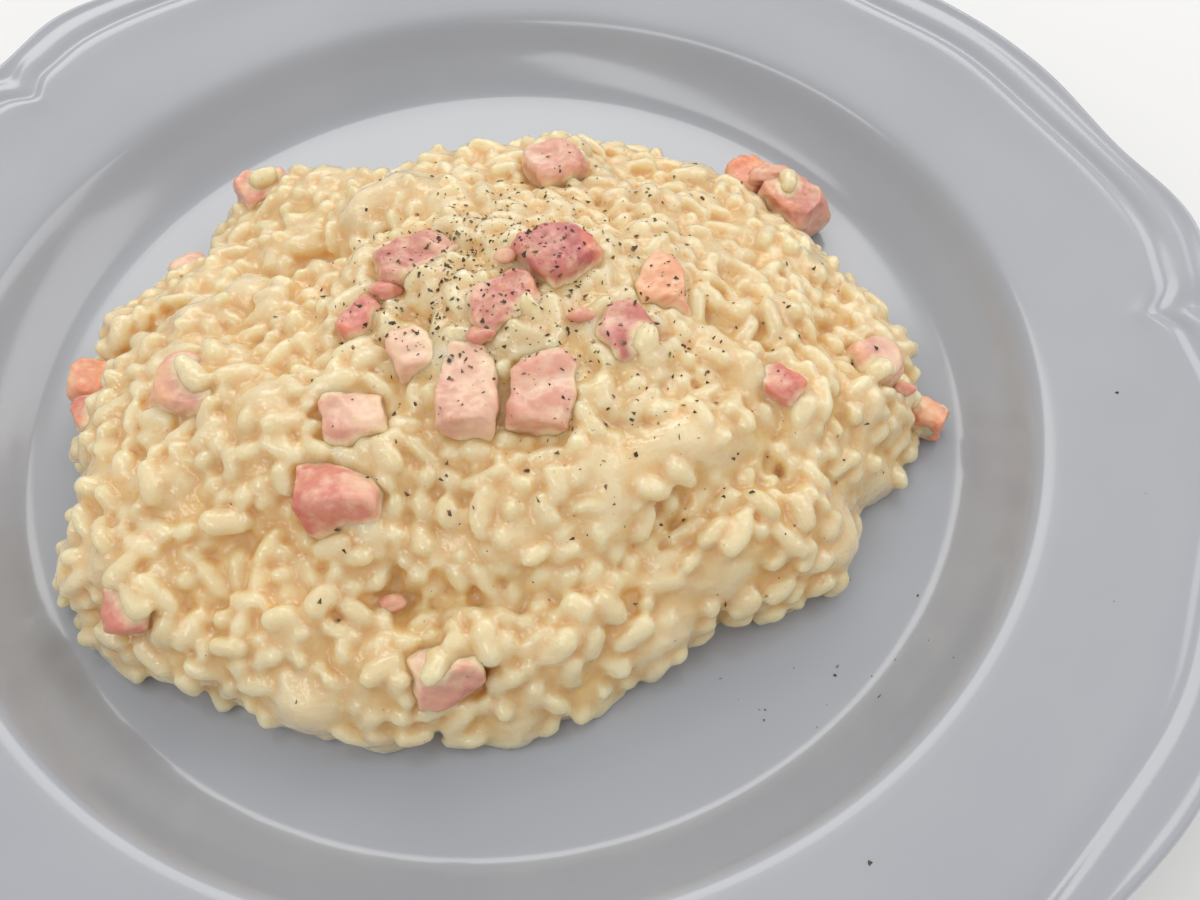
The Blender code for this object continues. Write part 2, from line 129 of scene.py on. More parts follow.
# Heap of risotto. Its edge is read on the plate, its height from the well's floor.
HEAP_CENTRE = (0.000, -0.004)
HEAP_EDGE = (
    (0.083, -0.010),
    (0.079, 0.008),
    (0.066, 0.031),
    (0.046, 0.052),
    (0.028, 0.061),
    (0.000, 0.061),
    (-0.028, 0.060),
    (-0.043, 0.064),
    (-0.054, 0.053),
    (-0.067, 0.034),
    (-0.080, 0.022),
    (-0.082, 0.003),
    (-0.080, -0.015),
    (-0.082, -0.034),
    (-0.073, -0.046),
    (-0.052, -0.059),
    (-0.036, -0.067),
    (-0.014, -0.071),
    (0.012, -0.068),
    (0.028, -0.061),
    (0.052, -0.057),
    (0.063, -0.041),
    (0.078, -0.027),
)
HEAP_SIDE_RUN = 0.013
HEAP_SIDE_HEIGHT = 0.014
HEAP_DOME_HEIGHT = 0.018
HEAP_ROUNDNESS = 1.15
# Swellings and dips: x, y, height and spread.
HEAP_SWELLINGS = (
    (0.008, 0.004, 0.0035, 0.024),
    (-0.052, -0.014, 0.0040, 0.020),
    (-0.045, 0.042, -0.0070, 0.020),
    (0.050, -0.030, 0.0030, 0.018),
    (0.018, -0.040, 0.0035, 0.022),
    (0.070, 0.002, -0.0040, 0.014),
    (-0.020, -0.052, -0.0030, 0.016),
)
# Folds: the line in plan, depth and spread.
HEAP_FOLDS = (
    (((-0.076, 0.010), (-0.050, 0.022), (-0.018, 0.026)), 0.0068, 0.0048),
    (((-0.024, -0.050), (-0.004, -0.056), (0.022, -0.050), (0.046, -0.036)), 0.0034, 0.0038),
    (((0.036, -0.004), (0.048, -0.020), (0.046, -0.040)), 0.0034, 0.0034),
    (((0.066, -0.006), (0.070, -0.020)), 0.0030, 0.0030),
)
# The heap's slope is read over this step, a small share in from the edge.
SLOPE_STEP = 0.0005
SLOPE_INSET = 0.012
# The heap's surface unrolled: how much wider it is than its plan, and the share that is the steep side.
UNROLLED = 1.16
SIDE_SHARE = 0.25
# Places for grains: half the width of the square tried, how many tries, and where the last ones lie.
SCATTER_REACH = 0.11
SCATTER_TRIES = 60000
SCATTER_EDGE = 0.97

# Cream between the grains. Waves are given as scale and height, creamy parts as x, y, spread and height.
HEAP_BASE = WELL_TOP - 0.0001
# The cream lies this far under the clumped heap, so a negative number is over it.
CREAM_SINK = -0.0003
CREAM_WAVES = (75.0, 0.0006)
CLUMP_WAVES = ((48.0, 0.0036), (100.0, 0.0040))
CLUMP_SEED = 3.0
CLUMP_SINK = 0.0004
# The valleys between the clumps, painted darker and warmer as shade: how far under the smooth heap they
# start, and the depth to the full shade.
VALLEY_TOP = 0.0018
VALLEY_DEPTH = 0.0040
HAM_UNDER_CREAM = 0.84
MOST_TRIANGLES = 190000
CREAMY_PARTS = (
    (0.004, -0.008, 0.022, 0.0012),
    (-0.035, 0.036, 0.024, 0.0009),
    (0.040, 0.020, 0.020, 0.0002),
)
CREAM_GRID = 150
VOXEL = 0.00058
FILL_ROUNDS = 7
FILL_SHARE = 0.5
WEAR_SHARE = 0.10
EVEN_SHARE = 0.5
RUGGED_WAVES = ((330.0, 0.00030), (700.0, 0.00016))
RUGGED_SEED = 9.0
# Closed hollows with fewer points than this go, whichever way they face.
FEWEST_POINTS = 60
# The flat underside: how high above the well, in voxels, and how squarely it faces down.
BASE_LAYER = 0.8
BASE_FACING = -0.9
# Crevices are read against a skin smoothed this often, in units of this depth. The risotto's colour darkens
# into them, partly as painted shade.
HOLLOW_ROUNDS = 24
HOLLOW_DEPTH = 0.0006

# Grains: their sizes, how they lie, and how far they settle.
GRAIN_LENGTHS = (0.0060, 0.0095)
GRAIN_WIDTHS = (0.0034, 0.0048)
GRAIN_SPACING = 0.0034
GRAIN_TILT_DEG = 25.0
GRAIN_DEPTHS = (-0.0026, 0.0013)
# A grain's shape: how blunt its ends, how much thicker one end, how flat, how bent, and from where.
GRAIN_BLUNTNESS = 3.4
GRAIN_TAPER = 0.08
GRAIN_FLATNESS = 0.84
GRAIN_BEND = 0.0006
GRAIN_BEND_REST = 0.4
GRAIN_SIDES = 10
GRAIN_RINGS = 8
PACK_ROUNDS = 20
PACK_TIGHTNESS = 0.81
PUSH_SHARE = 0.35
SHORTEST_WAY = 0.00001
# How clear of the ham and the plate a grain's balls are pushed, in radii.
HAM_CLEARANCE = 0.75
PLATE_CLEARANCE = 0.80
# A grain that ends up nearer to the ham than this share of its width is left out.
LEFT_OUT_SHARE = 0.2
# The three balls that stand for a grain while it settles, as shares of its length.
BALL_SHARES = (-0.30, 0.0, 0.30)
BALLS = len(BALL_SHARES)

# Ham: its skin, how far the cream creeps up it, and which pieces have which look.
HAM_VOXEL = 0.0004
HAM_ROUNDS = 3
CREAM_VEIL = 0.0016
# A dice matters only to what is this near to its middle.
HAM_REACH = 0.016
# Its dents, as scale and height, the fibres, which are also drawn out along the dice, and the deepest dent.
HAM_DENTS = ((170.0, 0.00095), (400.0, 0.00040))
HAM_FIBRES = (1000.0, 0.00018)
FIBRE_STRETCH = 0.15
DEEPEST_DENT = -0.0006
# Its layers: how each dice is turned against the last, in radians, and how wavy the layers are.
LAYER_TURN = 1.9
LAYER_TILT = 0.7
FIRST_TILT = 0.5
LAYER_WAVES = (260.0, 0.35)
HAM_LOOKS = {
    "maroon": ("ham_11", "ham_19"),
    "red": ("ham_20", "ham_14", "ham_07", "ham_08", "ham_04", "ham_01"),
    "orange": ("ham_18", "ham_21", "ham_24", "ham_03"),
    "rose": ("ham_17", "ham_12", "ham_13", "ham_09", "ham_22", "ham_10"),
    "pale": ("ham_15", "ham_16", "ham_23", "ham_05", "ham_06", "ham_02"),
}

# Grains that lie loose on the ham: x, y, turn in degrees, length.
LOOSE_GRAINS = (
    (-0.0530, -0.0068, -50, 0.0068),
    (-0.0515, -0.0098, -35, 0.0062),
    (0.0262, -0.0185, 55, 0.0060),
    (-0.0240, -0.0305, -40, 0.0064),
    (-0.0150, -0.0625, 12, 0.0058),
    (-0.0438, 0.0575, 20, 0.0064),
    (0.0690, 0.0375, 80, 0.0062),
    (-0.0165, -0.0646, 70, 0.0072),
    (-0.0640, -0.0452, -60, 0.0070),
    (0.0706, -0.0200, 25, 0.0060),
)
LOOSE_WIDTH = 0.0042
LOOSE_BEND = 0.0005
LOOSE_RISE = 0.20

# Small scraps of ham: x, y and size. They are stretched, dented and half sunk.
HAM_SCRAPS = (
    (-0.0233, -0.0515, 0.0036),
    (0.0768, -0.0210, 0.0030),
    (0.0662, 0.0404, 0.0066),
    (-0.0174, 0.0027, 0.0042),
    (0.0050, 0.0030, 0.0034),
    (-0.0020, -0.0125, 0.0040),
    (0.0165, -0.0115, 0.0036),
)
SCRAP_SHAPE = (1.25, 0.85, 0.7)
SCRAP_WAVES = (420.0, 0.45)
SCRAP_RISE = 0.22
SCRAP_LOOK = (("cream", 0.2), ("hollow", 0.0), ("layer", 0.0))

# Ground pepper: where it fell, as x, y, spread and how many.
PEPPER_FALLS = (
    (-0.004, 0.004, 0.012, 520),
    (0.010, 0.012, 0.013, 280),
    (0.018, -0.012, 0.019, 420),
    (0.008, 0.010, 0.040, 220),
    (0.020, -0.045, 0.030, 80),
)
# The few flakes that missed the heap, on the plate at the front.
PLATE_FALLS = (
    (0.048, -0.070, 0.012, 18),
    (0.085, -0.060, 0.020, 8),
)
PEPPER_SIZES = (0.00028, 0.00150)
PEPPER_COARSENESS = 2.5
# A flake: how many points it is the hull of, its width and thickness as shares of its length, and its rise.
FLAKE_POINTS = 7
FLAKE_WIDTHS = (0.5, 0.9)
FLAKE_THICKNESS = 0.35
FLAKE_RISE = 0.08
FULL_TURN = 6.3
# Things are dropped from this height.
DROP_HEIGHT = 0.08

# Colours of the meat in each look: lean, dark, fat and seared. And of the cream that films it.
MEAT = {
    "maroon": ((0.58, 0.18, 0.15), (0.46, 0.10, 0.10), (0.70, 0.34, 0.30), (0.72, 0.20, 0.12)),
    "red": ((0.70, 0.25, 0.18), (0.60, 0.15, 0.12), (0.84, 0.46, 0.34), (0.78, 0.26, 0.13)),
    "orange": ((0.82, 0.36, 0.20), (0.76, 0.27, 0.15), (0.86, 0.48, 0.28), (0.84, 0.31, 0.13)),
    "rose": ((0.72, 0.35, 0.25), (0.60, 0.22, 0.17), (0.82, 0.55, 0.41), (0.76, 0.35, 0.21)),
    "pale": ((0.80, 0.49, 0.35), (0.70, 0.35, 0.26), (0.88, 0.66, 0.46), (0.82, 0.44, 0.26)),
}
CREAM_COLOUR = (0.89, 0.72, 0.45)

# Lamps, all aimed at the heap: name, place, size, watts and colour.
LAMPS = (
    ("window", (0.05, 1.04, 1.0), (1.2, 0.5), 5.0, (1.0, 0.985, 0.96)),
    ("strip", (-0.60, -0.30, 1.0), (1.2, 0.24), 2.5, (0.96, 0.98, 1.0)),
    ("right_window", (1.0, 0.30, 0.80), (1.0, 0.6), 3.4, (0.98, 0.98, 1.0)),
)
LAMP_AIM = (0.0, 0.0, 0.02)
SKY_COLOUR = (1.0, 0.99, 0.98, 1.0)
SKY_STRENGTH = 0.74
FLOOR_HALF = 3.0


def smooth_noise(place, scale, seed=0.0):
    """Gentle noise between about -1 and 1 at this place."""
    return noise.noise(Vector(place) * scale + Vector((seed, seed * 1.7, seed * 0.3)))


def add_piece(name, mesh, replaced=(), smooth=True):
    """A piece of the object that rides on its one body."""
    piece = bpy.data.objects.new(name, mesh)
    bpy.context.scene.collection.objects.link(piece)
    if smooth:
        mesh.shade_smooth()
    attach(piece, "root")
    if replaced:
        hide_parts(*replaced)
    return piece


def new_mesh(name, points, faces):
    mesh = bpy.data.meshes.new(name)
    mesh.from_pydata([tuple(p) for p in points], [], faces)
    work = bmesh.new()
    work.from_mesh(mesh)
    bmesh.ops.recalc_face_normals(work, faces=work.faces)
    work.to_mesh(mesh)
    work.free()
    return mesh


def eased(pairs, where):
    """The value at `where` on a curve that is level at each of these (place, value) pairs."""
    for (a, low), (b, high) in zip(pairs, pairs[1:]):
        if where <= b:
            share = (where - a) / (b - a)
            return low + (high - low) * (1 - math.cos(math.pi * share)) / 2
    return pairs[-1][1]


# Plate

def rim_height(radius):
    slope = (RIM_TOP - SHOULDER_TOP) / (RIM_TOP_RADIUS - SHOULDER_RADIUS)
    return SHOULDER_TOP + slope * (radius - SHOULDER_RADIUS)


def plate_section(from_cusp_deg):
    """The plate's section at this angle from a cusp, from the top's middle round to the foot."""
    edge = eased(EDGE_RADII, from_cusp_deg)
    step = eased(STEP_RADII, from_cusp_deg)
    band = edge - step
    rim = rim_height(step)
    points = [(radius, WELL_TOP + share * COVE_HEIGHT) for radius, share in COVE_CURVE]
    points.append((SHOULDER_RADIUS, SHOULDER_TOP))
    points += [(radius, rim_height(radius)) for radius in RIM_RADII]
    points += [(step + out, rim + rise) for out, rise in STEP_GROOVE]
    points += [(step + share * band, rim + rise) for share, rise in MOULDING]
    points.append((step + MOULDING_CREST * band, rim_height(edge)))
    points += [(edge + out, rim_height(edge) + rise) for out, rise in EDGE_ROUND]
    points.append((step - UNDER_INSET, rim - RIM_THICKNESS))
    inner = SHOULDER_RADIUS + UNDER_INSET
    points.append((inner, rim_height(inner) - RIM_THICKNESS))
    return points + list(UNDERSIDE)


def plate_mesh():
    """The section carried round, with spokes drawn together at the cusps; add_plate smooths it once."""
    lobe = 360.0 / LOBES
    shares = [n / SPOKES_PER_HALF_LOBE for n in range(SPOKES_PER_HALF_LOBE + 1)]
    half = [lobe / 2 * share**SPOKE_CROWDING for share in shares]
    spokes = []
    for cusp in range(LOBES):
        start = FIRST_CUSP_DEG + cusp * lobe
        spokes += [(start + away, away) for away in half]
        spokes += [(start + lobe - away, away) for away in half[-2:0:-1]]
    points = []
    for angle_deg, away_deg in spokes:
        angle = math.radians(angle_deg)
        for radius, height in plate_section(away_deg):
            points.append((radius * math.cos(angle), radius * math.sin(angle), height))
    rings = len(points) // len(spokes)
    middle = len(points)
    points += [(0.0, 0.0, WELL_TOP), (0.0, 0.0, FOOT_HEIGHT)]
    faces = []
    for spoke in range(len(spokes)):
        here = spoke * rings
        there = (spoke + 1) % len(spokes) * rings
        faces.append((middle, here, there))
        faces.append((middle + 1, there + rings - 1, here + rings - 1))
        for ring in range(rings - 1):
            faces.append((here + ring, here + ring + 1, there + ring + 1, there + ring))
    return new_mesh("plate_glazed", points, faces)


def add_plate(material):
    mesh = plate_mesh()
    mesh.materials.append(material)
    plate = add_piece("plate_glazed", mesh, ["plate"])
    smooth = plate.modifiers.new("smooth", "SUBSURF")
    smooth.levels = 1
    smooth.render_levels = 1
    return plate


# Heap

def edge_radius(angles):
    """How far the heap's edge is from its centre at each of these angles, on one smooth closed curve."""
    edge = np.array(HEAP_EDGE) - HEAP_CENTRE
    known = np.arctan2(edge[:, 1], edge[:, 0])
    order = np.argsort(known)
    known, radii = known[order], np.hypot(edge[:, 0], edge[:, 1])[order]
    turn = 2 * math.pi
    known = np.concatenate([known[-2:] - turn, known, known[:2] + turn])
    radii = np.concatenate([radii[-2:], radii, radii[:2]])
    slopes = np.gradient(radii, known)
    angles = (np.asarray(angles) + math.pi) % turn - math.pi
    at = np.clip(np.searchsorted(known, angles) - 1, 0, len(known) - 2)
    width = known[at + 1] - known[at]
    t = (angles - known[at]) / width
    start = (1 + 2 * t) * (1 - t) ** 2 * radii[at] + t * (1 - t) ** 2 * width * slopes[at]
    end = t**2 * (3 - 2 * t) * radii[at + 1] + t**2 * (t - 1) * width * slopes[at + 1]
    return start + end


def distance_to_line(x, y, line):
    nearest = np.full(np.shape(x), 1.0)
    for (ax, ay), (bx, by) in zip(line, line[1:]):
        dx, dy = bx - ax, by - ay
        along = np.clip(((x - ax) * dx + (y - ay) * dy) / (dx * dx + dy * dy), 0, 1)
        nearest = np.minimum(nearest, np.hypot(x - ax - along * dx, y - ay - along * dy))
    return nearest


def heap_height(x, y):
    """The bare heap's height above the well's floor, with a steep rounded side under a low dome."""
    x, y = np.asarray(x, float), np.asarray(y, float)
    away_x, away_y = x - HEAP_CENTRE[0], y - HEAP_CENTRE[1]
    radius = np.hypot(away_x, away_y)
    edge = edge_radius(np.arctan2(away_y, away_x))
    inwards = np.clip((edge - radius) / HEAP_SIDE_RUN, 0, 1)
    side = np.sqrt(1 - (1 - inwards) ** 2)
    share = np.clip(radius / edge, 0, 1)
    dome = HEAP_DOME_HEIGHT * (1 - share**2) ** HEAP_ROUNDNESS
    for sx, sy, height, spread in HEAP_SWELLINGS:
        dome = dome + height * np.exp(-((x - sx) ** 2 + (y - sy) ** 2) / spread**2)
    for line, depth, spread in HEAP_FOLDS:
        dome = dome - depth * np.exp(-((distance_to_line(x, y, line) / spread) ** 2))
    return side * (HEAP_SIDE_HEIGHT + dome)


def heap_plan(unrolled):
    """Where points of the unrolled heap lie in plan. Its outer ring turns down the steep side."""
    angle = np.arctan2(unrolled[:, 1], unrolled[:, 0])
    edge = edge_radius(angle)
    share = np.hypot(unrolled[:, 0], unrolled[:, 1]) / (edge * UNROLLED)
    inner = 1 - SIDE_SHARE
    down = np.clip((share - inner) / SIDE_SHARE, 0, 1)
    radius = np.minimum(share / inner, 1) * (edge - HEAP_SIDE_RUN)
    radius = radius + HEAP_SIDE_RUN * np.sin(down * math.pi / 2)
    around = np.stack([np.cos(angle), np.sin(angle)], axis=1)
    return radius[:, None] * around + HEAP_CENTRE, share


def heap_surface(plan):
    """Points of the bare heap above these plan points, with their outward normals."""
    step = SLOPE_STEP
    inside = plan + (np.array(HEAP_CENTRE) - plan) * SLOPE_INSET
    x, y = inside[:, 0], inside[:, 1]
    slope_x = (heap_height(x + step, y) - heap_height(x - step, y)) / (2 * step)
    slope_y = (heap_height(x, y + step) - heap_height(x, y - step)) / (2 * step)
    normals = np.stack([-slope_x, -slope_y, np.ones_like(slope_x)], axis=1)
    normals /= np.linalg.norm(normals, axis=1)[:, None]
    points = np.column_stack([plan, heap_height(plan[:, 0], plan[:, 1]) + WELL_TOP])
    return points, normals


def scatter(draw, spacing):
    """Random points of the unrolled heap, none nearer to another than spacing."""
    tries = draw.uniform(-SCATTER_REACH, SCATTER_REACH, (SCATTER_TRIES, 2))
    share = heap_plan(tries)[1]
    found, cells = [], {}
    for place in tries[share < SCATTER_EDGE]:
        column, row = int(place[0] // spacing), int(place[1] // spacing)
        near = [n for i in (-1, 0, 1) for j in (-1, 0, 1) for n in cells.get((column + i, row + j), ())]
        if all(math.hypot(*(place - other)) >= spacing for other in near):
            found.append(place)
            cells.setdefault((column, row), []).append(place)
    return np.array(found)


def clump_rise(place):
    """How much the heap swells or dips here, in clumps of a few grains."""
    waves = sum(height * smooth_noise(place, scale, CLUMP_SEED) for scale, height in CLUMP_WAVES)
    return waves - CLUMP_SINK


def heap_net():
    """Plan points of the whole heap in rings from the middle out, and the faces of their closed body."""
    rings = CREAM_GRID // 2
    spokes = CREAM_GRID * 2
    share = np.linspace(0, 1, rings + 1)[1:]
    angle = np.arange(spokes) * 2 * math.pi / spokes
    far = share[:, None] * edge_radius(angle)[None, :] * UNROLLED
    flat = np.stack([far * np.cos(angle), far * np.sin(angle)], axis=-1).reshape(-1, 2)
    plan, _ = heap_plan(flat)
    top, bottom = len(plan), len(plan) + 1
    faces = []
    for spoke in range(spokes):
        after = (spoke + 1) % spokes
        faces.append((top, spoke, after))
        last = (rings - 1) * spokes
        faces.append((bottom, last + after, last + spoke))
        for ring in range(rings - 1):
            a = ring * spokes
            faces.append((a + spoke, a + spokes + spoke, a + spokes + after, a + after))
    return plan, spokes, faces


def closed_heap(points, spokes):
    """The heap's points with its last ring on the plate, and its two middle points."""
    points[-spokes:] = points[-2 * spokes:-spokes]
    points[-spokes:, 2] = HEAP_BASE
    points[:, 2] = np.maximum(points[:, 2], HEAP_BASE)
    peak = points[:spokes].mean(axis=0)
    return np.vstack([points, peak, (*HEAP_CENTRE, HEAP_BASE)])


def smooth_heap():
    """The bare heap without any clumps: its points and faces."""
    plan, spokes, faces = heap_net()
    points, _ = heap_surface(plan)
    return closed_heap(points, spokes), faces


def clumped_heap():
    """The bare heap with its clumps, on which the grains lie."""
    plan, spokes, faces = heap_net()
    points, normals = heap_surface(plan)
    rise = np.array([clump_rise(p) for p in points])
    return closed_heap(points + normals * rise[:, None], spokes), faces


def cream_body():
    """The cream that the grains are sunk in, near the clumped heap's height."""
    plan, spokes, faces = heap_net()
    points, normals = heap_surface(plan)
    scale, unevenness = CREAM_WAVES
    rise = []
    for x, y, z in points:
        sink = CREAM_SINK + unevenness * smooth_noise((x, y, z), scale)
        lift = sum(
            height * math.exp(-((x - cx) ** 2 + (y - cy) ** 2) / spread**2)
            for cx, cy, spread, height in CREAMY_PARTS
        )
        rise.append(clump_rise((x, y, z)) - sink + lift)
    return closed_heap(points + normals * np.array(rise)[:, None], spokes), faces


def grain_shape(length, width, bend):
    """One cooked grain along X: blunt ends, a slight bend and a slightly flat belly."""
    end_bend = bend * (1 - GRAIN_BEND_REST)
    points = [(-length / 2, end_bend, 0.0)]
    for ring in range(1, GRAIN_RINGS):
        t = -math.cos(math.pi * ring / GRAIN_RINGS)
        radius = width / 2 * math.sqrt(1 - abs(t) ** GRAIN_BLUNTNESS) * (1 + GRAIN_TAPER * t)
        for side in range(GRAIN_SIDES):
            angle = 2 * math.pi * side / GRAIN_SIDES
            y = radius * math.cos(angle) + bend * (t * t - GRAIN_BEND_REST)
            points.append((t * length / 2, y, GRAIN_FLATNESS * radius * math.sin(angle)))
    points.append((length / 2, end_bend, 0.0))
    return np.array(points)


def grain_faces():
    faces = []
    for side in range(GRAIN_SIDES):
        after = (side + 1) % GRAIN_SIDES
        faces.append((0, 1 + after, 1 + side))
        for ring in range(GRAIN_RINGS - 2):
            a = 1 + ring * GRAIN_SIDES
            faces.append((a + side, a + after, a + GRAIN_SIDES + after, a + GRAIN_SIDES + side))
        last = 1 + (GRAIN_RINGS - 2) * GRAIN_SIDES
        faces.append((last + side, last + after, last + GRAIN_SIDES))
    return faces


def node_shape(node):
    """A node's points in place, and its triangles."""
    node.data.calc_loop_triangles()
    points = [node.matrix_world @ vert.co for vert in node.data.vertices]
    return points, [tuple(t.vertices) for t in node.data.loop_triangles]


def ham_shapes():
    return [node_shape(node) for name, node in frame["nodes"].items() if name.startswith("ham")]


def ham_trees():
    """A search tree and the middle of each ham node, to keep the grains out of the ham."""
    trees = []
    for points, faces in ham_shapes():
        trees.append((BVHTree.FromPolygons(points, faces), sum(points, Vector()) / len(points)))
    return trees


def depth_in_ham(place, trees):
    """How deep a point is inside the nearest ham piece; negative outside."""
    deepest = -1.0
    for tree, middle in trees:
        if (place - middle).length > HAM_REACH:
            continue
        near, normal, _, distance = tree.find_nearest(place)
        inside = (place - near).dot(normal) < 0
        deepest = max(deepest, distance if inside else -distance)
    return deepest


def bare_heap_tree():
    points, faces = clumped_heap()
    return BVHTree.FromPolygons([Vector(p) for p in points], faces)


def lay_grains(draw):
    """Grains laid at random over the heap, before they settle: middles, directions, lengths and widths."""
    plan, _ = heap_plan(scatter(draw, GRAIN_SPACING))
    places, normals = heap_surface(plan)
    count = len(places)
    turns = draw.uniform(0, 2 * math.pi, count)
    tilts = np.radians(draw.normal(0, GRAIN_TILT_DEG, count))
    flat = np.stack([np.cos(turns), np.sin(turns), np.zeros(count)], axis=1)
    flat -= normals * (flat * normals).sum(axis=1)[:, None]
    flat /= np.linalg.norm(flat, axis=1)[:, None]
    alongs = flat * np.cos(tilts)[:, None] + normals * np.sin(tilts)[:, None]
    middles = places + normals * draw.uniform(*GRAIN_DEPTHS, count)[:, None]
    return middles, alongs, draw.uniform(*GRAIN_LENGTHS, count), draw.uniform(*GRAIN_WIDTHS, count)


def close_pairs(balls, reach):
    """Pairs of balls of different grains that are nearer than this."""
    tree = KDTree(len(balls))
    for number, ball in enumerate(balls):
        tree.insert(ball, number)
    tree.balance()
    pairs = []
    for number, ball in enumerate(balls):
        for _, other, _ in tree.find_range(ball, reach):
            if other > number and other // BALLS != number // BALLS:
                pairs.append((number, other))
    return np.array(pairs)


def settle(balls, radii, heap_tree, trees):
    """Moves the balls off each other, back to the heap's skin, out of the ham and off the plate."""
    pairs = close_pairs(balls, 2 * radii.max())
    first, second = pairs[:, 0], pairs[:, 1]
    between = balls[second] - balls[first]
    distance = np.maximum(np.linalg.norm(between, axis=1), SHORTEST_WAY)
    overlap = np.maximum((radii[first] + radii[second]) * PACK_TIGHTNESS - distance, 0)
    push = between * (PUSH_SHARE * overlap / distance)[:, None]
    moved = balls.copy()
    np.add.at(moved, first, -push)
    np.add.at(moved, second, push)
    for number in range(len(moved)):
        place = Vector(moved[number])
        near, normal, _, _ = heap_tree.find_nearest(place)
        height = (place - near).dot(normal)
        place += normal * (min(max(height, GRAIN_DEPTHS[0]), GRAIN_DEPTHS[1]) - height)
        for tree, middle in trees:
            if (place - middle).length < HAM_REACH:
                place = out_of_ham(place, tree, radii[number] * HAM_CLEARANCE)
        place.z = max(place.z, WELL_TOP + radii[number] * PLATE_CLEARANCE)
        moved[number] = place
    return moved


def out_of_ham(place, tree, clear):
    """The place itself, or the nearest one that is clear of this dice."""
    near, normal, _, distance = tree.find_nearest(place)
    inside = (place - near).dot(normal) < 0
    if inside or distance < clear:
        return near + normal * clear
    return place


def pack_grains(draw, trees):
    """The grains after they have pushed each other apart, as middle, three axes, length, width and bend."""
    middles, alongs, lengths, widths = lay_grains(draw)
    heap_tree = bare_heap_tree()
    radii = np.repeat(widths / 2, BALLS)
    shares = np.array(BALL_SHARES)
    for _ in range(PACK_ROUNDS):
        balls = middles[:, None] + alongs[:, None] * (lengths[:, None] * shares)[:, :, None]
        balls = settle(balls.reshape(-1, 3), radii, heap_tree, trees).reshape(-1, BALLS, 3)
        middles = balls.mean(axis=1)
        alongs = balls[:, -1] - balls[:, 0]
        alongs /= np.linalg.norm(alongs, axis=1)[:, None]
    grains = []
    for middle, along, length, width in zip(middles, alongs, lengths, widths):
        along = Vector(along)
        ends = [Vector(middle) + along * (length * share) for share in BALL_SHARES]
        if max(depth_in_ham(end, trees) for end in ends) > -width * LEFT_OUT_SHARE:
            continue
        across = along.cross(draw.normal(0, 1, 3)).normalized()
        up = along.cross(across)
        bend = draw.uniform(-GRAIN_BEND, GRAIN_BEND)
        grains.append((Vector(middle), along, across, up, length, width, bend))
    return grains


def loose_grains(trees):
    """The grains that lie on the ham."""
    grains = []
    for x, y, turn, length in LOOSE_GRAINS:
        place, normal = drop(x, y, [tree for tree, _ in trees])
        flat = Vector((math.cos(math.radians(turn)), math.sin(math.radians(turn)), 0.0))
        across = normal.cross(flat).normalized()
        middle = place + normal * LOOSE_WIDTH * LOOSE_RISE
        grains.append((middle, across.cross(normal), across, normal, length, LOOSE_WIDTH, LOOSE_BEND))
    return grains


def grain_cloud(grains):
    """All grains as one set of points and faces."""
    shape = grain_faces()
    points, faces = [], []
    for middle, along, across, up, length, width, bend in grains:
        start = len(points) * (len(points[0]) if points else 0)
        axes = np.array([along, across, up])
        points.append(grain_shape(length, width, bend) @ axes + np.array(middle))
        faces += [tuple(start + v for v in face) for face in shape]
    return np.vstack(points), faces


def throwaway(name, mesh):
    """An object that is only there for what its modifiers make."""
    thing = bpy.data.objects.new(name, mesh)
    bpy.context.scene.collection.objects.link(thing)
    return thing


def made_by(thing):
    """What a throwaway object's modifiers make of its mesh."""
    bpy.context.view_layer.update()
    evaluated = thing.evaluated_get(bpy.context.evaluated_depsgraph_get())
    made = bpy.data.meshes.new_from_object(evaluated)
    bpy.data.objects.remove(thing, do_unlink=True)
    return made


def voxel_union(points, faces, size=VOXEL):
    """One skin over everything in this soup of closed bodies."""
    mesh = bpy.data.meshes.new("soup")
    mesh.from_pydata([tuple(p) for p in points], [], faces)
    thing = throwaway("soup", mesh)
    remesh = thing.modifiers.new("skin", "REMESH")
    remesh.mode = "VOXEL"
    remesh.voxel_size = size
    remesh.adaptivity = 0.0
    return made_by(thing)


def mesh_arrays(mesh):
    points = np.empty(len(mesh.vertices) * 3, np.float32)
    mesh.vertices.foreach_get("co", points)
    edges = np.empty(len(mesh.edges) * 2, np.int32)
    mesh.edges.foreach_get("vertices", edges)
    return points.reshape(-1, 3).astype(np.float64), edges.reshape(-1, 2)


def relaxed(points, edges, rounds, share=0.5):
    """Each point drawn towards the mean of its neighbours, round after round."""
    counts = np.bincount(edges.ravel(), minlength=len(points))[:, None]
    for _ in range(rounds):
        total = np.zeros_like(points)
        np.add.at(total, edges[:, 0], points[edges[:, 1]])
        np.add.at(total, edges[:, 1], points[edges[:, 0]])
        points = points + share * (total / np.maximum(counts, 1) - points)
    return points


def move_points(mesh, points):
    mesh.vertices.foreach_set("co", points.astype(np.float32).ravel())
    mesh.update()


def vertex_normals(mesh):
    normals = np.empty(len(mesh.vertices) * 3, np.float32)
    mesh.vertices.foreach_get("normal", normals)
    return normals.reshape(-1, 3)


def filled(mesh, points, edges):
    """Cream drawn into the crevices: hollows fill up fast, while crests wear down only a little."""
    points = relaxed(points, edges, 1)
    for _ in range(FILL_ROUNDS):
        normals = vertex_normals(mesh)
        move = relaxed(points, edges, 1, 1.0) - points
        outward = (move * normals).sum(axis=1)
        sideways = move - normals * outward[:, None]
        share = np.where(outward > 0, FILL_SHARE, WEAR_SHARE)
        points = points + EVEN_SHARE * sideways + normals * (outward * share)[:, None]
        move_points(mesh, points)
    return points


def paint(mesh, name, values):
    """Stores one number for each vertex as a named attribute."""
    layer = mesh.attributes.new(name, "FLOAT", "POINT")
    layer.data.foreach_set("value", np.asarray(values, np.float32))


